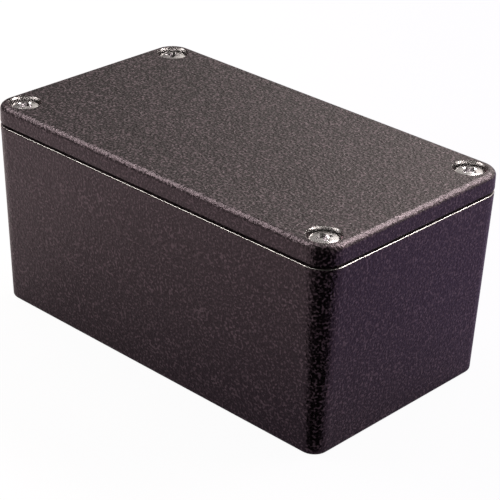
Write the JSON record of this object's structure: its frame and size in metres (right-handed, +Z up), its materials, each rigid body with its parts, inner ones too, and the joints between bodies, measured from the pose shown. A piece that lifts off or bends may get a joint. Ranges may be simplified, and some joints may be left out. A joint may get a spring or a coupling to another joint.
{
  "type": "die cast enclosure",
  "caption": "Die cast aluminium box for circuits: drafted walls, rounded corners, sealed tongue and groove lid held by recessed corner screws, and board pads inside.",
  "frame": {"origin": "centre of the underside", "axes": "+X along the length, +Y across the width towards the rear long side, +Z up through the lid"},
  "size_m": [0.115, 0.065, 0.0556],
  "materials": {
    "paint": "satin",
    "seal": "matte",
    "screw_steel": "satin"
  },
  "bodies": {
    "base": {"base": "paint"},
    "lid": {"lid": "paint", "gasket": "seal"},
    "screw_front_left": {"screw_front_left": "screw_steel"},
    "screw_front_right": {"screw_front_right": "screw_steel"},
    "screw_rear_left": {"screw_rear_left": "screw_steel"},
    "screw_rear_right": {"screw_rear_right": "screw_steel"}
  },
  "joints": [
    {"name": "lid_lift", "type": "slide", "parent": "base", "child": "lid", "axis": [0, 0, 1], "range_m": [0, 0.08]},
    {"name": "screw_front_left_withdraw", "type": "slide", "parent": "lid", "child": "screw_front_left", "axis": [0, 0, 1], "range_m": [0, 0.02]},
    {"name": "screw_front_right_withdraw", "type": "slide", "parent": "lid", "child": "screw_front_right", "axis": [0, 0, 1], "range_m": [0, 0.02]},
    {"name": "screw_rear_left_withdraw", "type": "slide", "parent": "lid", "child": "screw_rear_left", "axis": [0, 0, 1], "range_m": [0, 0.02]},
    {"name": "screw_rear_right_withdraw", "type": "slide", "parent": "lid", "child": "screw_rear_right", "axis": [0, 0, 1], "range_m": [0, 0.02]}
  ]
}
